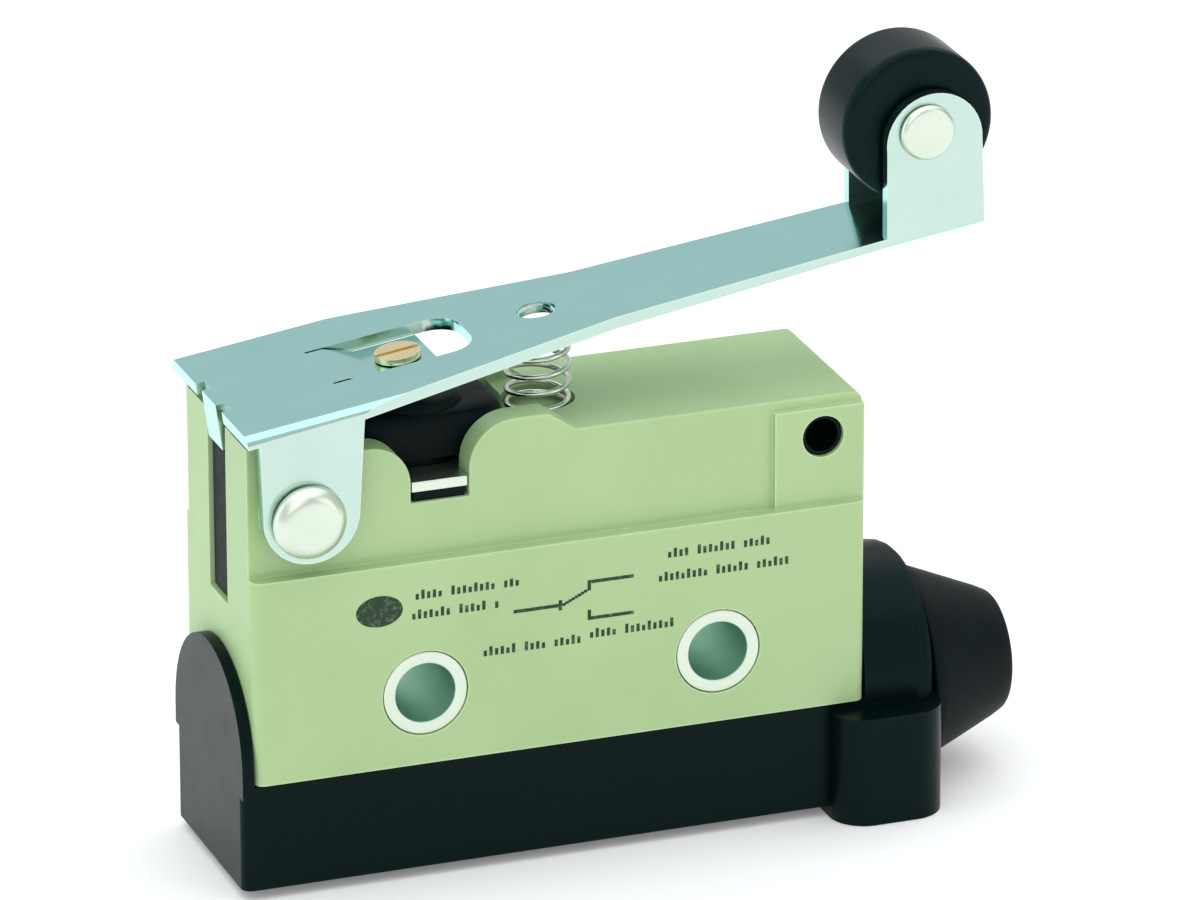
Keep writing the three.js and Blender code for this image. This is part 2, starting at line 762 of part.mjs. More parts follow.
function pivotEarOutline() {
  const outline = new THREE.Shape();
  outline.moveTo(-earHeel, plateTop);
  outline.lineTo(-earHeel, plateUnder);
  outline.lineTo(earForward - earRadius, earLift);
  outline.absarc(earForward, earLift, earRadius, Math.PI, 2 * Math.PI + earFlank, false);
  outline.lineTo(earToe, plateUnder);
  outline.lineTo(earToe, plateTop);
  return outline;
}

// the ear's crown lies a little ahead of the roller's pin and below it
function forkEarOutline() {
  const crown = rollerStation + forkEarForward;
  const outline = new THREE.Shape();
  outline.moveTo(forkStation + forkEarStart, plateUnder);
  outline.lineTo(leverReach, plateUnder);
  outline.lineTo(crown + forkEarRadius, rollerRise - forkEarLower);
  outline.absarc(crown, rollerRise - forkEarLower, forkEarRadius, 0, Math.PI, false);
  return outline;
}

// the tongue steps down from the plate and carries the adjusting screw below it
const tongueBend = windowStart + tongueRoot;
const tongueTop = plateTop - tongueDrop;
const tongueUnder = plateUnder - tongueDrop;

function makeLever() {
  const half = leverWidth / 2;
  const fork = forkWidth / 2;
  const window = windowWidth / 2;
  const tongue = tongueWidth / 2;
  const heel = windowStart - tongueOverlap;
  const windowMiddle = (windowStart + windowEnd) / 2;
  const roundedEnd = roundedRectangle(windowMiddle - windowCorner, windowEnd, -window, window, windowCorner);
  let shape = throughZ(makeLeverPlate(), plateUnder, plateTop)
    .subtract(box(windowStart, windowMiddle, -window, window, plateUnder - beyond, plateTop + beyond))
    .subtract(throughZ(roundedEnd, plateUnder - beyond, plateTop + beyond));
  const tongueSide = polygon([
    [heel, plateUnder], [tongueBend, plateUnder], [tongueFlat, tongueUnder], [tongueEnd, tongueUnder],
    [tongueEnd, tongueTop], [tongueFlat, tongueTop], [tongueBend, plateTop], [heel, plateTop],
  ]);
  shape = shape
    .add(throughY(tongueSide, -tongue, tongue))
    .subtract(rodZ(adjusterDiameter / 2 + fit, tongueUnder - beyond, plateTop + beyond, screwStation, 0, 18));
  shape = shape
    .subtract(rodZ(springHole / 2, plateUnder - beyond, plateTop + beyond, springStation, 0, 40));
  for (const side of [-1, 1]) {
    const relief = side * (lipWidth + reliefWidth) / 2;
    const ear = side * (half - sheet / 2);
    const forkEar = side * (fork - sheet / 2);
    shape = shape
      .subtract(box(-leverHeel - beyond, -leverHeel + reliefDepth, relief - reliefWidth / 2,
        relief + reliefWidth / 2, plateUnder - beyond, plateTop + beyond))
      .add(throughY(pivotEarOutline(), ear - sheet / 2, ear + sheet / 2, 10))
      .add(throughY(forkEarOutline(), forkEar - sheet / 2, forkEar + sheet / 2, 10));
  }
  shape = shape
    .add(box(-leverHeel, -leverHeel + sheet, -lipWidth / 2, lipWidth / 2, plateUnder - lipDepth, plateTop))
    .subtract(rodY(pivotPinDiameter / 2 + running, -half - beyond, half + beyond, 0, 0))
    .subtract(rodY(rollerPinDiameter / 2 + fit, -fork - beyond, fork + beyond,
      rollerStation, rollerRise, 20));
  return mesh('lever', shape, zincSteel);
}

function makePivotPin() {
  const shaft = pivotPinDiameter / 2;
  const head = pivotHeadDiameter / 2;
  const tail = pivotTailDiameter / 2;
  const headSeat = middle - leverWidth / 2 - running;
  const tailSeat = middle + leverWidth / 2 + running;
  const headFace = headSeat - pivotHeadThickness;
  const tailFace = tailSeat + pivotTailThickness;
  const profile = [
    [0, headFace], [head - pivotHeadEdge, headFace], [head, headFace + pivotHeadEdge], [head, headSeat],
    [shaft, headSeat], [shaft, tailSeat], [tail, tailSeat], [tail, tailSeat + pivotTailThickness / 2],
    [tail - pivotTailThickness, tailFace], [0, tailFace],
  ];
  return mesh('pivot_pin', turned(profile, 'y', [pivotX, 0, pivotZ], 28), brightSteel);
}

function makeRollerPin() {
  const seat = forkWidth / 2 + fit;
  const face = seat + rollerHeadThickness;
  const shaft = rollerPinDiameter / 2;
  const head = rollerHeadDiameter / 2;
  const edge = rollerHeadThickness / 2;
  const profile = [
    [0, -face], [head - edge, -face], [head, -face + edge], [head, -seat], [shaft, -seat],
    [shaft, seat], [head, seat], [head, face - edge], [head - edge, face], [0, face],
  ];
  return mesh('roller_pin', turned(profile, 'y', [rollerStation, 0, rollerRise], 24), brightSteel);
}

function makeRoller() {
  const outer = rollerDiameter / 2;
  const half = rollerWidth / 2;
  const bore = rollerPinDiameter / 2 + running;
  const round = rollerEdge * (1 - Math.SQRT1_2);
  const profile = [
    [bore, -half], [outer - rollerEdge, -half], [outer - round, -half + round], [outer, -half + rollerEdge],
    [outer, half - rollerEdge], [outer - round, half - round], [outer - rollerEdge, half], [bore, half],
    [bore, -half],
  ];
  return mesh('roller', turned(profile, 'y', [rollerStation, 0, rollerRise], 44), rollerBlack);
}

function makeAdjuster() {
  const head = adjusterHeadDiameter / 2;
  const shank = adjusterDiameter / 2;
  const seat = tongueTop + touch;
  const profile = [
    [0, adjusterTip], [shank, adjusterTip], [shank, seat], [head, seat],
    [head, seat + adjusterHeadThickness], [0, seat + adjusterHeadThickness],
  ];
  const slot = box(screwStation - head, screwStation + head, -adjusterSlotWidth / 2, adjusterSlotWidth / 2,
    seat + adjusterHeadThickness - adjusterSlotDepth, seat + adjusterHeadThickness + beyond);
  return mesh('adjusting_screw', turned(profile, 'z', [screwStation, 0, 0], 40).subtract(slot), brass);
}

function makeAdjusterNut() {
  const outer = adjusterNutDiameter / 2;
  const bore = (adjusterDiameter / 2 + touch) / Math.cos(Math.PI / 6);
  const under = tongueUnder - fit;
  const profile = [
    [bore, under - adjusterNutThickness], [outer, under - adjusterNutThickness], [outer, under],
    [bore, under], [bore, under - adjusterNutThickness],
  ];
  return mesh('adjusting_nut', turned(profile, 'z', [screwStation, 0, 0], 6), brass);
}

// ---------------------------------------------------------------- terminal cover and gland

function archOutline(radius, low) {
  const outline = new THREE.Shape();
  outline.moveTo(middle - radius, low);
  outline.lineTo(middle + radius, low);
  outline.lineTo(middle + radius, archCentre);
  outline.absarc(middle, archCentre, radius, 0, Math.PI, false);
  return outline;
}

function makeTerminalCover() {
  const coverFront = front + coverInset;
  const coverRear = -coverInset;
  const blockStart = hoodEnd - blockLength;
  const blockLow = bottom - blockDrop;
  const blockHigh = blockLow + blockHeight;
  const hoodInner = archRadius - coverWall;
  const chamberFloor = coverBottom + coverFloor;
  const rebate = coverTop - gasketThickness - touch;
  const tray = roundedRectangle(coverLeft, hoodEnd - hoodFillet, coverFront, coverRear, cornerRadius);
  const bulk = roundedRectangle(blockStart, hoodEnd, middle - blockWidth / 2, middle + blockWidth / 2,
    blockCorner);
  let shape = throughZ(tray, coverBottom, coverTop)
    .add(throughX(archOutline(archRadius, coverTop - beyond), coverLeft, left - touch))
    .add(throughZ(bulk, blockLow, blockHigh));

  // the hood's outer edge is rounded in steps
  const roundSteps = 5;
  for (let i = 0; i <= roundSteps; i += 1) {
    const angle = (Math.PI / 2) * (i / roundSteps);
    const radius = archRadius - hoodFillet * (1 - Math.cos(angle));
    const end = hoodEnd - hoodFillet * (1 - Math.sin(angle));
    shape = shape.add(throughX(archOutline(radius, coverTop - beyond), hoodStart, end));
  }

  // wiring chamber, gasket rebate, hood and the hole for the gland's neck
  const chamberFront = coverFront + coverWall;
  const chamberRear = coverRear - coverWall;
  shape = shape
    .subtract(box(left + coverWall, hoodEnd - coverWall, chamberFront, chamberRear, chamberFloor, rebate))
    .subtract(box(left + coverWall, right - coverWall, chamberFront, chamberRear,
      rebate - beyond, coverTop + beyond))
    .subtract(box(left + turnedGap, right - turnedGap, coverFront + coverLip, coverRear - coverLip,
      rebate, coverTop + beyond))
    .subtract(throughX(archOutline(hoodInner, rebate - beyond), hoodStart + archThickness,
      hoodEnd - coverWall))
    .subtract(rodX(glandBore / 2 + glandNeckWall + fit, hoodEnd - coverWall - beyond, hoodEnd + beyond,
      middle, glandZ));

  // a blind pocket in each end takes the housing's catch
  const catchZ = bottom + catchRise;
  for (const [x0, x1] of [[left - catchDepth - fit, left], [right, right + catchDepth + fit]]) {
    shape = shape.subtract(box(x0, x1, middle - catchWidth / 2 - fit, middle + catchWidth / 2 + fit,
      catchZ - fit, catchZ + catchHeight + fit));
  }
  return mesh('terminal_cover', shape, blackPlastic);
}

function makeGasket() {
  const top = coverTop;
  const low = top - gasketThickness;
  const endGap = turnedGap + touch;
  const sideGap = coverInset + coverLip + touch;
  const shape = box(left + endGap, right - endGap, front + sideGap, -sideGap, low, top)
    .subtract(box(cavityLeft, cavityRight, front + lowerWall, -lowerWall, low - beyond, top + beyond));
  return mesh('cover_gasket', shape, rubber);
}

function makeGland() {
  const bore = glandBore / 2;
  const neck = bore + glandNeckWall;
  const seat = hoodEnd + touch;
  const inside = hoodEnd - coverWall - touch;
  const tip = seat + glandLength;
  const flange = neck + glandFlangeReach;
  const profile = [
    [bore, inside - glandFlangeThickness], [flange, inside - glandFlangeThickness], [flange, inside],
    [neck, inside], [neck, seat], [glandRootRadius, seat], [glandRootRadius, seat + glandRim],
    [glandEndRadius + glandTipChamfer / 2, tip - glandTipChamfer], [glandEndRadius, tip], [bore, tip],
    [bore, inside - glandFlangeThickness],
  ];
  return mesh('cable_gland', turned(profile, 'x', [0, middle, glandZ], 40), rubber);
}

// ---------------------------------------------------------------- assembly

const limitSwitch = new THREE.Group();
limitSwitch.add(makeHousing(), makeStopBuffer(), makeCrossSleeve());
limitSwitch.add(makeBush('mounting_bush_left', holes[0]), makeBush('mounting_bush_right', holes[1]));

limitSwitch.add(makeTerminalBlock());
limitSwitch.add(
  terminal('terminal_common', commonX, commonX - strip / 2, commonArmEnd, commonArm, true),
  terminal('terminal_normally_open', openX, openX - strip / 2, contactX + armReach, openArm, false),
  terminal('terminal_normally_closed', closedX, contactX - armReach, closedX + strip / 2, closedArm, false),
);
for (const [label, riser] of [['common', commonX], ['normally_open', openX], ['normally_closed', closedX]]) {
  limitSwitch.add(makeTerminalScrew(`terminal_screw_${label}`, terminalScrewX(riser)));
  limitSwitch.add(makeWasher(`clamp_washer_${label}`, terminalScrewX(riser)));
}
limitSwitch.add(makeContact('fixed_contact_normally_open', openFace - contactHeight, contactHeight));
limitSwitch.add(makeContact('fixed_contact_normally_closed', closedFace, contactHeight));
limitSwitch.add(makeBlade(), makeMovingContact(), makeSnapSpring(), makeBladeRivet());
limitSwitch.add(makePlunger(), makeBoot(), makeRetainer(), makeReturnSpring());
limitSwitch.add(makeTerminalCover(), makeGasket(), makeGland(), makePivotPin());

const leverGroup = new THREE.Group();
leverGroup.position.set(pivotX, middle, pivotZ);
leverGroup.rotation.y = -leverTilt;
leverGroup.add(makeLever(), makeRoller(), makeRollerPin(), makeAdjuster(), makeAdjusterNut());
limitSwitch.add(leverGroup);

export default limitSwitch;
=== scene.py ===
"""Looks of a horizontal enclosed limit switch with a hinge roller lever."""

import json
import math

import bmesh
import bpy
from mathutils import Matrix, Vector


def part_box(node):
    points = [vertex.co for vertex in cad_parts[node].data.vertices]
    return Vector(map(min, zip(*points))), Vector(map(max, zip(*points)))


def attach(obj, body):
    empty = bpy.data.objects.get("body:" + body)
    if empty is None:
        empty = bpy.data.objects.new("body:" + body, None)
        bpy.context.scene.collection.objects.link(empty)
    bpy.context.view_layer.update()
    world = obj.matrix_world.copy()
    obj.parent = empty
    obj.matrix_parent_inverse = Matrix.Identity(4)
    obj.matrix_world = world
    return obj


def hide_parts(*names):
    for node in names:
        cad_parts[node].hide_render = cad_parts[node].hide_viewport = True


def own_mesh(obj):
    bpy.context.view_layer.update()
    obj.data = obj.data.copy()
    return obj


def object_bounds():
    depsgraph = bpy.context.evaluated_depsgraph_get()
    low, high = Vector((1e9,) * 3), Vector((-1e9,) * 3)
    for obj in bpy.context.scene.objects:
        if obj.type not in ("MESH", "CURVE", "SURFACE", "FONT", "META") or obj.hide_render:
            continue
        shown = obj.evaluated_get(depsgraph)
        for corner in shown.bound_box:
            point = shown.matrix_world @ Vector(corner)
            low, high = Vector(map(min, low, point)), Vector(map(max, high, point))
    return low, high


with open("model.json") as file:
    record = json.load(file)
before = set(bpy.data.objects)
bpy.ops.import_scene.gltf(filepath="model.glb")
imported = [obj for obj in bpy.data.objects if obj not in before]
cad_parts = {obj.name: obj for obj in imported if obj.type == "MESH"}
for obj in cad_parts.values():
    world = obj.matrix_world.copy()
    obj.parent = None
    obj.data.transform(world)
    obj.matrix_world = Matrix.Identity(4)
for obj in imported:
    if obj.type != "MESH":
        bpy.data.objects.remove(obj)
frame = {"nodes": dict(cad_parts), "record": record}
cad_low, cad_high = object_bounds()

MM = 0.001
nodes = frame["nodes"]
home = {node: body for body, names in frame["record"]["behaviour"]["bodies"].items() for node in names}

# ------------------------------------------------------------------ camera and light

CAMERA_AZIMUTH = math.radians(-20.1)
CAMERA_ELEVATION = math.radians(21.4)
CAMERA_ROLL = math.radians(-0.09)
CAMERA_DISTANCE = 0.792
CAMERA_LENS = 289.65
CAMERA_TARGET = Vector((0.0056, -0.00925, 0.0155))
CAMERA_SENSOR = 36.0
CAMERA_CLIP = 0.01

LIGHT_AIM = Vector((0.0, -0.009, 0.01))
WORLD_COLOUR = (0.97, 0.99, 1.0, 1.0)
WORLD_STRENGTH = 0.68

# name, place and width in metres, power in watts, colour
SOFTBOXES = (
    ("key_front_left", (-0.25, -0.55, 0.42), 0.55, 0.85, (1.0, 0.99, 0.96)),
    ("fill_front_right", (0.45, -0.5, 0.2), 0.4, 0.4, (1.0, 1.0, 1.0)),
    ("side_left", (-0.6, 0.05, 0.2), 0.45, 0.7, (0.72, 1.0, 0.97)),
    ("top_soft", (0.05, 0.1, 0.7), 1.4, 6.2, (0.95, 0.99, 1.0)),
)


def add_camera():
    flat = math.cos(CAMERA_ELEVATION)
    back = Vector((
        math.sin(CAMERA_AZIMUTH) * flat,
        -math.cos(CAMERA_AZIMUTH) * flat,
        math.sin(CAMERA_ELEVATION),
    ))
    data = bpy.data.cameras.new("photo_camera")
    data.sensor_fit = "HORIZONTAL"
    data.sensor_width = CAMERA_SENSOR
    data.lens = CAMERA_LENS
    data.clip_start = CAMERA_CLIP
    camera = bpy.data.objects.new("photo_camera", data)
    turn = back.to_track_quat("Z", "Y").to_matrix() @ Matrix.Rotation(CAMERA_ROLL, 3, "Z")
    camera.matrix_world = Matrix.Translation(CAMERA_TARGET + back * CAMERA_DISTANCE) @ turn.to_4x4()
    bpy.context.scene.collection.objects.link(camera)
    bpy.context.scene.camera = camera


def add_softbox(name, place, width, power, colour):
    data = bpy.data.lights.new(name, "AREA")
    data.shape = "SQUARE"
    data.size = width
    data.energy = power
    data.color = colour
    light = bpy.data.objects.new(name, data)
    place = Vector(place)
    turn = (place - LIGHT_AIM).to_track_quat("Z", "Y").to_matrix().to_4x4()
    light.matrix_world = Matrix.Translation(place) @ turn
    bpy.context.scene.collection.objects.link(light)


def add_light():
    for softbox in SOFTBOXES:
        add_softbox(*softbox)
    world = bpy.data.worlds.new("studio")
    world.use_nodes = True
    background = world.node_tree.nodes["Background"]
    background.inputs["Color"].default_value = WORLD_COLOUR
    background.inputs["Strength"].default_value = WORLD_STRENGTH
    bpy.context.scene.world = world


# ------------------------------------------------------------------ materials

# noise scales, from a slow drift of colour to the grain of a surface
DRIFT = 90.0
METAL_BLOTCH = 230.0
METAL_LINES = 260.0
RUBBER_BLOOM = 320.0
GLOSS_PATCH = 400.0
WEAR_PATCH = 700.0
RUBBER_PATCH = 900.0
INK_SPECK = 2600.0
RUBBER_GRAIN = 3000.0
MOULD_GRAIN = 4200.0

# how far from a corner the painted edge highlight reaches on plastic
PLASTIC_EDGE_HIGHLIGHT = 0.35 * MM
# how far from a corner the painted glint reaches on metal
METAL_EDGE_HIGHLIGHT = 0.2 * MM
METAL_GLINT = 1.15
NO_TINT = (1.0, 1.0, 1.0, 1.0)


def linear(red, green, blue):
    """Display colour, 0 to 255, as scene-linear values."""
    values = [channel / 255.0 for channel in (red, green, blue)]
    return tuple(v / 12.92 if v <= 0.04045 else ((v + 0.055) / 1.055) ** 2.4 for v in values) + (1.0,)


class Look:
    """A node material under construction: object-space texture coordinates and a Principled shader."""

    def __init__(self, name):
        self.material = bpy.data.materials.new(name)
        self.material.use_nodes = True
        self.tree = self.material.node_tree
        self.shader = self.tree.nodes["Principled BSDF"]
        self.place = self.tree.nodes.new("ShaderNodeTexCoord").outputs["Object"]

    def add(self, kind, **settings):
        node = self.tree.nodes.new(kind)
        for key, value in settings.items():
            setattr(node, key, value)
        return node

    def link(self, source, target):
        self.tree.links.new(source, target)

    def set(self, **values):
        for key, value in values.items():
            self.shader.inputs[key.replace("_", " ")].default_value = value

    def noise(self, scale, detail=3.0, roughness=0.55, stretch=None):
        texture = self.add("ShaderNodeTexNoise")
        texture.inputs["Scale"].default_value = scale
        texture.inputs["Detail"].default_value = detail
        texture.inputs["Roughness"].default_value = roughness
        place = self.place
        if stretch:
            mapping = self.add("ShaderNodeMapping")
            mapping.inputs["Scale"].default_value = stretch
            self.link(self.place, mapping.inputs["Vector"])
            place = mapping.outputs["Vector"]
        self.link(place, texture.inputs["Vector"])
        return texture.outputs["Fac"]

    def ramp(self, factor, stops):
        node = self.add("ShaderNodeValToRGB")
        elements = node.color_ramp.elements
        while len(elements) < len(stops):
            elements.new(0.5)
        for element, (position, colour) in zip(elements, stops):
            element.position = position
            element.color = colour
        self.link(factor, node.inputs["Fac"])
        return node.outputs["Color"]

    def span(self, factor, low, high):
        node = self.add("ShaderNodeMapRange")
        node.inputs["To Min"].default_value = low
        node.inputs["To Max"].default_value = high
        self.link(factor, node.inputs["Value"])
        return node.outputs["Result"]

    def edges(self, radius):
        """1 on edges within radius of a corner, where the painted edge highlight goes, 0 on flat faces."""
        bevel = self.add("ShaderNodeBevel", samples=6)
        bevel.inputs["Radius"].default_value = radius
        geometry = self.add("ShaderNodeNewGeometry")
        dot = self.add("ShaderNodeVectorMath", operation="DOT_PRODUCT")
        self.link(bevel.outputs["Normal"], dot.inputs[0])
        self.link(geometry.outputs["Normal"], dot.inputs[1])
        reach = self.add("ShaderNodeMapRange")
        reach.inputs["From Min"].default_value = 1.0
        reach.inputs["From Max"].default_value = 0.75
        self.link(dot.outputs["Value"], reach.inputs["Value"])
        return reach.outputs["Result"]

    def mix(self, factor, first, second):
        node = self.add("ShaderNodeMix", data_type="RGBA")
        self.link(factor, node.inputs["Factor"])
        for source, socket in ((first, node.inputs[6]), (second, node.inputs[7])):
            if isinstance(source, tuple):
                socket.default_value = source
            else:
                self.link(source, socket)
        return node.outputs[2]

    def bump(self, height, strength, distance):
        node = self.add("ShaderNodeBump")
        node.inputs["Strength"].default_value = strength
        node.inputs["Distance"].default_value = distance
        self.link(height, node.inputs["Height"])
        self.link(node.outputs["Normal"], self.shader.inputs["Normal"])


def moulded(name, colour, shade, edge, roughness, grain, gloss=0.45, tint=NO_TINT):
    """Moulded plastic: slow colour drift, lighter edges that are a painted highlight with patchy wear, and
    a fine moulded grain.
    """
    look = Look(name)
    drift = look.ramp(look.noise(DRIFT), [(0.3, shade), (0.7, colour)])
    # lighter edges: a painted highlight along the edges, broken into patches by the wear noise
    edge_highlight_and_wear = look.add("ShaderNodeMath", operation="MULTIPLY")
    look.link(look.edges(PLASTIC_EDGE_HIGHLIGHT), edge_highlight_and_wear.inputs[0])
    look.link(look.span(look.noise(WEAR_PATCH), 0.25, 0.9), edge_highlight_and_wear.inputs[1])
    look.link(look.mix(edge_highlight_and_wear.outputs["Value"], drift, edge), look.shader.inputs["Base Color"])
    polish = look.span(look.noise(GLOSS_PATCH, 5.0), roughness - 0.06, roughness + 0.08)
    look.link(polish, look.shader.inputs["Roughness"])
    look.bump(look.noise(MOULD_GRAIN, 2.0), grain, 0.02 * MM)
    look.set(Specular_IOR_Level=gloss, Specular_Tint=tint)
    return look.material


def printed(name, colour, worn):
    """Thin printing ink, worn through in specks."""
    look = Look(name)
    specks = look.ramp(look.noise(INK_SPECK, 4.0), [(0.5, colour), (0.72, worn)])
    look.link(specks, look.shader.inputs["Base Color"])
    look.set(Roughness=0.6, Specular_IOR_Level=0.2)
    return look.material


def plated(name, colour, shade, roughness, brushed):
    """Plated sheet or turned metal: drawn lines, faint mottling and bright edges, a painted highlight that
    also stands for wear.
    """
    look = Look(name)
    lines = look.noise(METAL_LINES, 6.0, 0.7, stretch=brushed)
    blotch = look.noise(METAL_BLOTCH, 4.0)
    toned = look.mix(look.span(blotch, 0.0, 1.0), shade, colour)
    # the colour of the painted glint along the edges
    bright = tuple(min(1.0, channel * METAL_GLINT) for channel in colour[:3]) + (1.0,)
    look.link(look.mix(look.edges(METAL_EDGE_HIGHLIGHT), toned, bright), look.shader.inputs["Base Color"])
    look.link(look.span(lines, roughness * 0.7, roughness * 1.4), look.shader.inputs["Roughness"])
    look.bump(lines, 0.05, 0.01 * MM)
    look.set(Metallic=1.0)
    return look.material


def soft_rubber(name, colour, dust, roughness):
    """Moulded rubber: matt, with a dusty bloom in patches."""
    look = Look(name)
    bloom = look.ramp(look.noise(RUBBER_BLOOM, 6.0), [(0.35, colour), (0.8, dust)])
    look.link(bloom, look.shader.inputs["Base Color"])
    polish = look.span(look.noise(RUBBER_PATCH), roughness - 0.08, roughness + 0.08)
    look.link(polish, look.shader.inputs["Roughness"])
    look.bump(look.noise(RUBBER_GRAIN, 3.0), 0.25, 0.03 * MM)
    look.set(Specular_IOR_Level=0.1)
    return look.material


CREAM = linear(170, 196, 143)
TEAL_SHEEN = (0.62, 1.0, 0.98, 1.0)
ALONG_X = (0.15, 6.0, 6.0)
ROUND = (1.0, 1.0, 1.0)

# slot, kind of look and that look's settings
# for moulded looks the third colour is the painted highlight on the edges
LOOKS = (
    ("cream_plastic", moulded, CREAM, linear(163, 190, 136), linear(214, 234, 196), 0.42, 0.18),
    (
        "black_plastic", moulded, linear(2, 14, 14), linear(2, 11, 12), linear(10, 32, 32), 0.3, 0.3,
        0.12, TEAL_SHEEN,
    ),
    ("black_rubber", soft_rubber, linear(2, 12, 14), linear(6, 20, 22), 0.5),
    ("brown_plastic", moulded, linear(92, 58, 40), linear(80, 48, 34), linear(120, 82, 60), 0.5, 0.2),
    ("zinc_plated_steel", plated, linear(176, 225, 221), linear(165, 216, 213), 0.15, ALONG_X),
    ("bright_steel", plated, linear(222, 231, 216), linear(206, 216, 200), 0.3, ROUND),
    ("spring_steel", plated, linear(226, 226, 214), linear(196, 194, 180), 0.2, ROUND),
    ("brass", plated, linear(236, 222, 180), linear(218, 198, 146), 0.26, ROUND),
    ("silver_alloy", plated, linear(232, 232, 228), linear(210, 210, 206), 0.3, ROUND),
    (
        "roller_black", moulded, linear(4, 18, 20), linear(3, 15, 16), linear(12, 34, 37), 0.28, 0.15,
        0.13, TEAL_SHEEN,
    ),
    (
        "white_plastic", moulded, linear(232, 228, 216), linear(224, 220, 206), linear(244, 242, 236),
        0.45, 0.15,
    ),
)
looks = {slot: make(slot, *settings) for slot, make, *settings in LOOKS}

# ------------------------------------------------------------------ building blocks

CREASE = 35.0
SHARP_EDGE = math.radians(28)
NEARLY_STRAIGHT = math.radians(165)
SAME_PLANE = math.radians(0.6)
SAME_POINT = 0.002 * MM
RING_STEP = 0.01 * MM
LARGE_FACES_FIRST = 100

slots = {entry["node"]: entry["material_slot"] for entry in frame["record"]["subparts"]}


def dress(piece, slot):
    piece.data.materials.clear()
    piece.data.materials.append(looks[slot])


def stand_for(piece, node):
    """The piece takes a CAD node's body and material slot, and the CAD node is hidden."""
    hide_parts(node)
    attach(piece, home[node])
    dress(piece, slots[node])
    return piece


def smooth(mesh, degrees):
    mesh.shade_smooth()
    mesh.set_sharp_from_angle(angle=math.radians(degrees))


def object_from(shape, name, degrees=CREASE):
    """Turns a bmesh into an object in the scene."""
    mesh = bpy.data.meshes.new(name)
    shape.to_mesh(mesh)
    shape.free()
    smooth(mesh, degrees)
    piece = bpy.data.objects.new(name, mesh)
    bpy.context.scene.collection.objects.link(piece)
    return piece


def skin(name, rings, loop=False, degrees=CREASE):
    """A closed surface through rings of points. A ring of one point is a tip, and loop joins the ends."""
    shape = bmesh.new()
    rows = [[shape.verts.new(point) for point in ring] for ring in rings]
    pairs = list(zip(rows, rows[1:])) + ([(rows[-1], rows[0])] if loop else [])
    for first, second in pairs:
        count = max(len(first), len(second))
        if count == 1:
            continue
        for i in range(count):
            j = (i + 1) % count
            corners = [first[i % len(first)], first[j % len(first)]]
            corners += [second[j % len(second)], second[i % len(second)]]
            shape.faces.new(list(dict.fromkeys(corners)))
    bmesh.ops.recalc_face_normals(shape, faces=shape.faces)
    return object_from(shape, name, degrees)


def rounded_line(points, radius, steps, closed):
    """A line of (radius, height) points with its corners rounded."""
    count = len(points)
    out = []
    for i, point in enumerate(points):
        if not closed and i in (0, count - 1):
            out.append(point)
            continue
        before = points[i - 1] - point
        after = points[(i + 1) % count] - point
        if before.angle(after) > NEARLY_STRAIGHT:
            out.append(point)
            continue
        reach = min(radius, 0.48 * before.length, 0.48 * after.length)
        start = point + before.normalized() * reach
        end = point + after.normalized() * reach
        for k in range(steps + 1):
            t = k / steps
            out.append(start * (1 - t) ** 2 + point * (2 * t * (1 - t)) + end * t**2)
    return out


def turned_line(node, centre, axis):
    """The outline that a turned CAD node was made from, read back from its rings of vertices."""
    mesh = nodes[node].data
    keys = []
    for vertex in mesh.vertices:
        height = (vertex.co - centre).dot(axis)
        radius = (vertex.co - centre - axis * height).length
        keys.append((round(radius / RING_STEP), round(height / RING_STEP)))
    near = {}
    for edge in mesh.edges:
        a, b = (keys[i] for i in edge.vertices)
        if a != b:
            near.setdefault(a, set()).add(b)
            near.setdefault(b, set()).add(a)
    ends = sorted(key for key in near if len(near[key]) == 1)
    path = [ends[0] if ends else min(near)]
    while True:
        following = [key for key in sorted(near[path[-1]]) if key not in path]
        if not following:
            break
        path.append(following[0])
    line = [Vector((radius, height)) * RING_STEP for radius, height in path]
    return line, not ends


def turned_copy(node, axis, radius, segments=112, steps=4):
    """A turned CAD node again, with many more sides and with rounded corners."""
    axis = Vector(axis)
    low, high = (Vector(corner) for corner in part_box(node))
    centre = (low + high) / 2
    line, closed = turned_line(node, centre, axis)
    side = axis.orthogonal().normalized()
    up = axis.cross(side)
    rings = []
    for point in rounded_line(line, radius * MM, steps, closed):
        if point.x < RING_STEP:
            rings.append([centre + axis * point.y])
            continue
        turns = [2 * math.pi * k / segments for k in range(segments)]
        rings.append([
            centre + axis * point.y + (side * math.cos(t) + up * math.sin(t)) * point.x for t in turns
        ])
    return stand_for(skin(node + "_turned", rings, closed), node)


def rounded_copy(node, passes):
    """A finer copy of a CAD node. Each pass is a test of edges or None, a radius in mm and a step count."""
    shape = bmesh.new()
    shape.from_mesh(nodes[node].data)
    bmesh.ops.remove_doubles(shape, verts=shape.verts, dist=SAME_POINT)
    bmesh.ops.dissolve_limit(shape, angle_limit=SAME_PLANE, verts=shape.verts, edges=shape.edges)
    for pick, offset, segments in passes:
        edges = [edge for edge in shape.edges if len(edge.link_faces) == 2]
        edges = [edge for edge in edges if edge.calc_face_angle(0.0) > SHARP_EDGE]
        edges = [edge for edge in edges if pick is None or pick(edge)]
        bmesh.ops.bevel(
            shape, geom=edges, offset=offset * MM, offset_type="OFFSET", segments=segments,
            profile=0.5, affect="EDGES", clamp_overlap=True,
        )
    piece = object_from(shape, node + "_fine")
    flat = piece.modifiers.new("flat_faces", "WEIGHTED_NORMAL")
    flat.keep_sharp = True
    flat.weight = LARGE_FACES_FIRST
    return stand_for(piece, node)


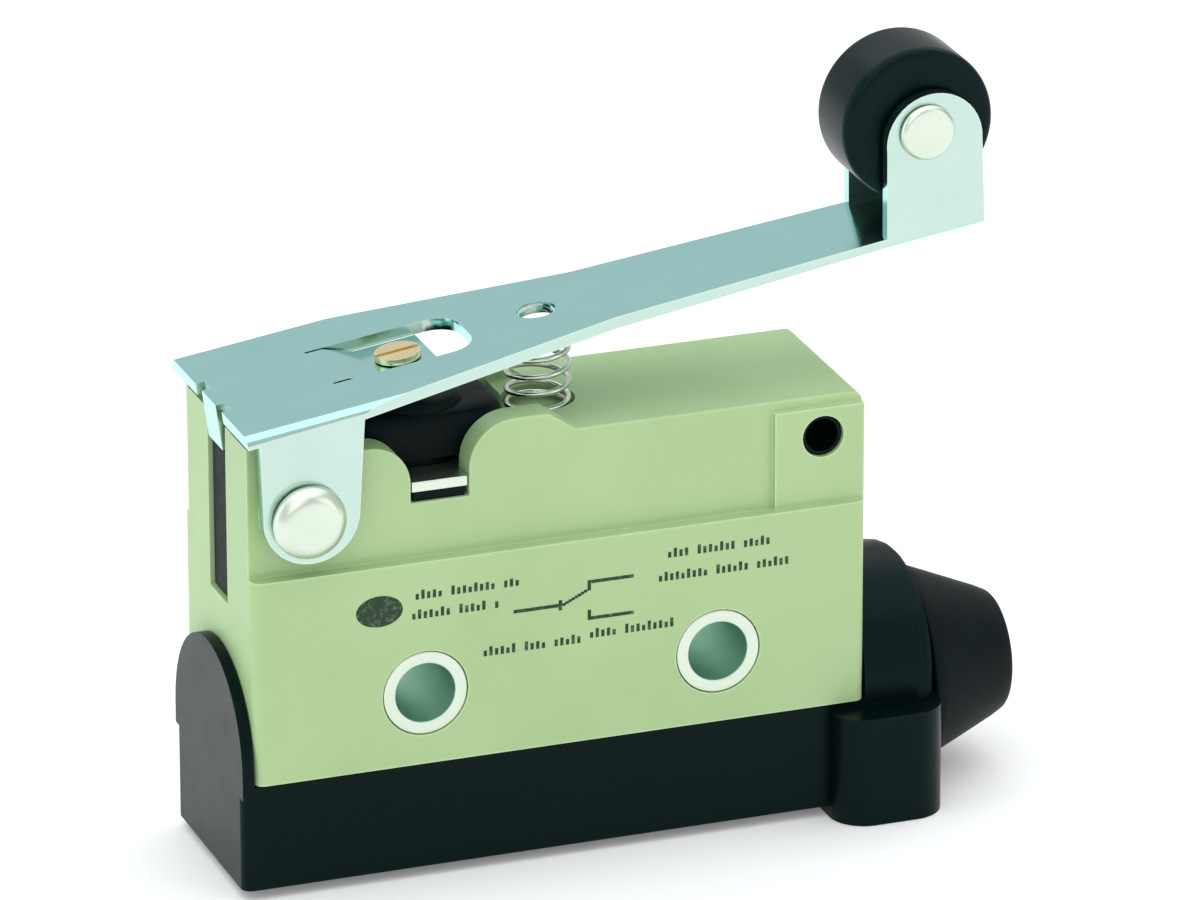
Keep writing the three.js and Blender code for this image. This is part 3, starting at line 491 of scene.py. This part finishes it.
def edge_test(test):
    """Picks the edges whose two ends both pass the test, given in millimetres."""
    return lambda edge: all(test(*(vertex.co / MM)) for vertex in edge.verts)


for name in nodes:
    dress(nodes[name], slots[name])

# ------------------------------------------------------------------ housing and cover

LEDGE = 11.5
LEDGE_DEPTH = 1.0
FRONT = -18.0
UPPER_FRONT = -16.8
UPPER_REAR = -1.2
WALLS_FROM = 14.0
NEAR = 0.02


def on_ledge(x, y, z):
    return abs(z - LEDGE) < NEAR and (y < FRONT + LEDGE_DEPTH or y > -LEDGE_DEPTH)


def on_wall_outline(x, y, z):
    return z > WALLS_FROM and (abs(y - UPPER_FRONT) < NEAR or abs(y - UPPER_REAR) < NEAR)


rounded_copy("housing", [
    (edge_test(on_ledge), 1.0, 5),
    (edge_test(on_wall_outline), 0.65, 5),
    (None, 0.12, 2),
])
rounded_copy("terminal_cover", [(None, 0.3, 3)])
rounded_copy("stop_buffer", [(None, 0.3, 3)])
turned_copy("cross_hole_sleeve", (0, 1, 0), 0.1)

# ------------------------------------------------------------------ lever

PIVOT = Vector((-22.9, -9.0, 16.9)) * MM
TILT = math.radians(8.0)
PLATE_TOP = 8.2
PLATE_UNDER = 7.2
PIVOT_EARS_TO = 6.1
PIVOT_EARS_OUT = 8.0
FORK_EARS_FROM = 52.9
FORK_EARS_OUT = 4.5
SIDEWAYS = 0.9
to_row = Matrix.Translation(PIVOT) @ Matrix.Rotation(-TILT, 4, "Y")
to_lever = to_row.inverted()


def lever_test(test):
    """As edge_test, with u along the lever, w across it and v square to its plate."""
    return lambda edge: all(test(*(to_lever @ vertex.co / MM)) for vertex in edge.verts)


def on_fold(u, w, v):
    pivot_ears = abs(v - PLATE_TOP) < NEAR and u < PIVOT_EARS_TO and abs(w) > PIVOT_EARS_OUT
    fork_ears = abs(v - PLATE_UNDER) < NEAR and u > FORK_EARS_FROM and abs(w) > FORK_EARS_OUT
    return pivot_ears or fork_ears


def shade_ears(lever):
    """The faces that turn sideways, mostly the folded ears, take a less blue copy of the plated look than
    the top of the plate: painted light, for how the light falls on the sides.
    """
    lever.data.materials.append(side_lit_ear_look)
    for face in lever.data.polygons:
        if abs(face.normal.y) > SIDEWAYS:
            face.material_index = 1


# a less blue copy of the zinc look, painting the light that falls on the sideways faces
side_lit_ear_look = plated("side_lit_zinc", linear(196, 217, 208), linear(186, 209, 199), 0.22, ALONG_X)
shade_ears(rounded_copy("lever", [
    (lever_test(on_fold), 0.95, 6),
    (None, 0.14, 3),
]))
turned_copy("roller", (0, 1, 0), 0.35)
turned_copy("roller_pin", (0, 1, 0), 0.3)
turned_copy("pivot_pin", (0, 1, 0), 0.9)
rounded_copy("adjusting_screw", [(None, 0.08, 2)])
rounded_copy("adjusting_nut", [(None, 0.12, 2)])

# ------------------------------------------------------------------ bushes, gland and inner turned pieces

BORE_REACH = 2.62


def shaded_bore(bush):
    """The inside of a bush gets a dull, greener plated look, painted shade in the bore, and only its rings
    are bright.
    """
    bush.data.materials.append(shaded_bore_look)
    middle = sum((vertex.co for vertex in bush.data.vertices), Vector()) / len(bush.data.vertices)
    for face in bush.data.polygons:
        offset = face.center - middle
        if math.hypot(offset.x, offset.z) < BORE_REACH * MM:
            face.material_index = 1


# greener and rougher than the rings: painted shade inside the bores
shaded_bore_look = plated("shaded_bore", linear(196, 228, 212), linear(178, 214, 196), 0.4, ROUND)
for node in ("mounting_bush_left", "mounting_bush_right"):
    shaded_bore(turned_copy(node, (0, 1, 0), 0.15))
turned_copy("cable_gland", (1, 0, 0), 0.6)
for node in ("plunger", "moving_contact", "blade_rivet"):
    turned_copy(node, (0, 0, 1), 0.2, 64)
for pole in ("normally_open", "normally_closed"):
    turned_copy("fixed_contact_" + pole, (0, 0, 1), 0.2, 64)
for pole in ("common", "normally_open", "normally_closed"):
    turned_copy("clamp_washer_" + pole, (0, 0, 1), 0.1, 64)
    rounded_copy("terminal_screw_" + pole, [(None, 0.12, 2)])
    rounded_copy("terminal_" + pole, [(None, 0.1, 2)])
for node in ("terminal_block", "contact_blade", "snap_spring", "cover_gasket"):
    rounded_copy(node, [(None, 0.06, 2)])
rounded_copy("boot_retainer", [(None, 0.12, 3)])

# ------------------------------------------------------------------ return spring

WIRE = 0.25
SPRING_TURNS = 5.2
DEAD_TURN = 0.75
DEAD_PITCH = 2.2 * WIRE * MM
TURN_STEPS = 40
WIRE_SIDES = 14


def make_spring():
    low, high = (Vector(corner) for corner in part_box("return_spring"))
    coil = (high.y - low.y) / 2 - WIRE * MM
    centre = Vector((low.x + coil + WIRE * MM, (low.y + high.y) / 2, 0.0))
    bottom = low.z + WIRE * MM
    rise = high.z - low.z - 2 * WIRE * MM
    closed_rise = DEAD_PITCH * DEAD_TURN
    places = []
    for i in range(round(SPRING_TURNS * TURN_STEPS) + 1):
        turn = i / TURN_STEPS
        share = min(max((turn - DEAD_TURN) / (SPRING_TURNS - 2 * DEAD_TURN), 0.0), 1.0)
        dead = min(turn, DEAD_TURN) + max(0.0, turn - SPRING_TURNS + DEAD_TURN)
        height = bottom + DEAD_PITCH * dead + share * (rise - 2 * closed_rise)
        angle = 2 * math.pi * turn
        places.append(centre + Vector((coil * math.cos(angle), coil * math.sin(angle), height)))
    rings = []
    for i, place in enumerate(places):
        along = (places[min(i + 1, len(places) - 1)] - places[max(i - 1, 0)]).normalized()
        side = ((place - centre) * Vector((1, 1, 0))).normalized()
        up = along.cross(side)
        turns = [2 * math.pi * k / WIRE_SIDES for k in range(WIRE_SIDES)]
        rings.append([place + (side * math.cos(t) + up * math.sin(t)) * WIRE * MM for t in turns])
    rings = [[places[0]]] + rings + [[places[-1]]]
    spring = stand_for(skin("return_spring_wire", rings, degrees=50.0), "return_spring")
    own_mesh(spring)


make_spring()

# ------------------------------------------------------------------ rubber boot

PLUNGER = (-10.9, -9.0)
BOOT_FLANGE = (16.25, 16.95)
BOOT_NECK_RADIUS = 4.3
BOOT_BODY = (14.4, 10.0, 3.5)
BOOT_BODY_FROM = 18.45
BOOT_INNER_RADIUS = 3.45
BOOT_SKIN = 1.0
BOOT_CROWN = 0.8
BOOT_FLANGE_GAP = 0.3
PARALLEL = 1e-12
SHARE_SLACK = 1e-6


def circle_outline(radius):
    turns = [math.radians(k) for k in range(0, 360, 3)]
    return [(radius * math.cos(t), radius * math.sin(t)) for t in turns]


def rounded_outline(length, width, radius):
    points = []
    for quarter, (sx, sy) in enumerate(((1, 1), (-1, 1), (-1, -1), (1, -1))):
        for k in range(13):
            angle = math.radians(90 * quarter + 7.5 * k)
            x = sx * (length / 2 - radius) + radius * math.cos(angle)
            y = sy * (width / 2 - radius) + radius * math.sin(angle)
            points.append((x, y))
    return points


def flange_outline(gap):
    """The boot's flange in the trough, with a tab through the notch on each side."""
    x0, x1 = -8.2 + gap, 8.5 - gap
    y = 5.3 - gap
    tab = 2.5 - gap
    reach = 7.8 - gap
    return [
        (x1, y), (tab, y), (tab, reach), (-tab, reach), (-tab, y), (x0, y),
        (x0, -y), (-tab, -y), (-tab, -reach), (tab, -reach), (tab, -y), (x1, -y),
    ]


def outline_reach(outline, angle):
    """How far an outline lies from its middle in one direction."""
    dx, dy = math.cos(angle), math.sin(angle)
    found = 0.0
    for (ax, ay), (bx, by) in zip(outline, outline[1:] + outline[:1]):
        ex, ey = bx - ax, by - ay
        cross = dx * ey - dy * ex
        if abs(cross) < PARALLEL:
            continue
        along = (ax * ey - ay * ex) / cross
        share = (ax * dy - ay * dx) / cross
        if along > 0 and -SHARE_SLACK <= share <= 1 + SHARE_SLACK:
            found = max(found, along)
    return found


def boot_outline(inset, end_inset=None):
    """The boot's body drawn in by inset all round, or by end_inset at its two ends."""
    length, width, corner = BOOT_BODY
    ends = inset if end_inset is None else end_inset
    return rounded_outline(length - 2 * ends, width - 2 * inset, corner - inset)


def make_boot():
    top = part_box("rubber_boot")[1][2] / MM
    shoulder = top - BOOT_CROWN
    neck = circle_outline(BOOT_NECK_RADIUS)
    flange = flange_outline(BOOT_FLANGE_GAP)
    inner = circle_outline(BOOT_INNER_RADIUS)
    levels = [
        (inner, BOOT_FLANGE[0]),
        (flange, BOOT_FLANGE[0]),
        (flange, BOOT_FLANGE[1]),
        (neck, BOOT_FLANGE[1]),
        (neck, BOOT_BODY_FROM - 0.1),
        (boot_outline(0.7), BOOT_BODY_FROM),
        (boot_outline(0.2), BOOT_BODY_FROM + 0.2),
        (boot_outline(0.0), BOOT_BODY_FROM + 0.7),
        (boot_outline(0.0), shoulder - 1.0),
        (boot_outline(0.15), shoulder - 0.5),
        (boot_outline(0.5), shoulder - 0.15),
        (boot_outline(0.7, end_inset=1.0), shoulder),
        (neck, shoulder + 0.02),
        (circle_outline(BOOT_NECK_RADIUS - 0.1), top - 0.35),
        (circle_outline(BOOT_NECK_RADIUS - 0.45), top - 0.08),
        (circle_outline(BOOT_NECK_RADIUS - 1.0), top),
        (None, top),
        (None, top - BOOT_SKIN),
        (inner, top - BOOT_SKIN),
    ]
    angles = {round(math.radians(k), 5) for k in range(0, 360, 4)}
    angles |= {round(math.atan2(y, x) % (2 * math.pi), 5) for x, y in flange}
    angles = sorted(angles)
    rings = []
    for outline, z in levels:
        if outline is None:
            rings.append([Vector((PLUNGER[0], PLUNGER[1], z)) * MM])
            continue
        ring = []
        for angle in angles:
            reach = outline_reach(outline, angle)
            x = PLUNGER[0] + reach * math.cos(angle)
            y = PLUNGER[1] + reach * math.sin(angle)
            ring.append(Vector((x, y, z)) * MM)
        rings.append(ring)
    boot = stand_for(skin("rubber_boot_moulding", rings, True, 40.0), "rubber_boot")
    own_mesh(boot)


make_boot()

# ------------------------------------------------------------------ printed marks on the front face

INK_PROUD = 0.012
INK_SUNK = 0.05
STROKE = 0.28
STROKE_PITCH = 1.75 * STROKE
WORD_GAP = 2.2 * STROKE
ROW_HEIGHT = 0.8
STROKE_HEIGHTS = (0.62, 1.0, 0.74, 0.86)

# start and end along X, height of the foot of the row, strokes in each word
PRINT_ROWS = (
    (-13.5, -4.2, 8.3, (5, 8, 4)),
    (-13.8, -6.0, 6.6, (7, 5, 6)),
    (8.3, 17.6, 8.9, (4, 7, 5)),
    (7.5, 19.0, 6.9, (9, 6, 8)),
    (-7.7, 0.7, 2.5, (6, 4, 7)),
    (1.5, 9.1, 2.8, (5, 9)),
)

# the bars of a plain changeover-contact diagram, from x to x and from z to z
DIAGRAM_BARS = (
    (-5.1, -1.2, 5.9, 6.2),
    (1.6, 5.3, 7.6, 7.9),
    (1.6, 5.3, 4.4, 4.7),
    (1.3, 1.6, 7.0, 7.9),
    (1.3, 1.6, 4.4, 5.3),
    (-1.2, -0.9, 5.6, 6.5),
)
BLADE_START = (-0.9, 5.95)
BLADE_STEP = (0.27, 0.13)
BLADE_STEPS = 8
BLADE_BAR = (0.3, 0.25)

OVAL_CENTRE = (-16.6, 7.7)
OVAL_RADII = (2.0, 1.35)


def ink_box(shape, x0, x1, z0, z1):
    centre = Vector(((x0 + x1) / 2, FRONT + (INK_SUNK - INK_PROUD) / 2, (z0 + z1) / 2)) * MM
    size = Vector((x1 - x0, INK_SUNK + INK_PROUD, z1 - z0)) * MM
    made = bmesh.ops.create_cube(shape, size=1.0)["verts"]
    bmesh.ops.scale(shape, vec=size, verts=made)
    bmesh.ops.translate(shape, vec=centre, verts=made)


def greeked_row(shape, start, end, z, words):
    """Short strokes in groups, which read as a line of small print and spell nothing."""
    x = start
    count = 0
    while x < end:
        word = words[count % len(words)]
        for k in range(word):
            tall = ROW_HEIGHT * STROKE_HEIGHTS[(count + k) % len(STROKE_HEIGHTS)]
            if x + STROKE < end:
                ink_box(shape, x, x + STROKE, z, z + tall)
            x += STROKE_PITCH
        x += WORD_GAP
        count += 1


def ink_oval(shape):
    depth = INK_SUNK + INK_PROUD
    place = Vector((OVAL_CENTRE[0], FRONT + (INK_SUNK - INK_PROUD) / 2, OVAL_CENTRE[1])) * MM
    size = Vector((OVAL_RADII[0], depth, OVAL_RADII[1])) * MM
    turn = Matrix.Rotation(math.pi / 2, 4, "X")
    bmesh.ops.create_cone(
        shape, cap_ends=True, segments=64, radius1=1.0, radius2=1.0, depth=1.0,
        matrix=Matrix.Translation(place) @ Matrix.Diagonal(size).to_4x4() @ turn,
    )


def make_print():
    shape = bmesh.new()
    for row in PRINT_ROWS:
        greeked_row(shape, *row)
    for bar in DIAGRAM_BARS:
        ink_box(shape, *bar)
    for k in range(BLADE_STEPS):
        x = BLADE_START[0] + BLADE_STEP[0] * k
        z = BLADE_START[1] + BLADE_STEP[1] * k
        ink_box(shape, x, x + BLADE_BAR[0], z, z + BLADE_BAR[1])
    ink_oval(shape)
    ink = object_from(shape, "front_print")
    ink.data.materials.append(printed("print_ink", linear(44, 62, 46), linear(92, 114, 84)))
    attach(ink, home["housing"])


make_print()

# ------------------------------------------------------------------ floor

FLOOR_HALF = 3.0
FLOOR_GAP = 0.05 * MM


def make_floor():
    mesh = bpy.data.meshes.new("floor")
    corners = [(-1, -1), (1, -1), (1, 1), (-1, 1)]
    mesh.from_pydata([(FLOOR_HALF * x, FLOOR_HALF * y, 0) for x, y in corners], [], [(0, 1, 2, 3)])
    floor = bpy.data.objects.new("floor", mesh)
    floor.location.z = cad_low[2] - FLOOR_GAP
    bpy.context.scene.collection.objects.link(floor)
    look = Look("floor")
    look.set(
        Base_Color=(0.85, 0.85, 0.85, 1.0), Roughness=0.7, Specular_IOR_Level=0.2,
        Emission_Color=(1.0, 1.0, 1.0, 1.0), Emission_Strength=0.15,
    )
    floor.data.materials.append(look.material)


make_floor()
add_camera()
add_light()
bpy.context.scene.view_settings.view_transform = "Standard"
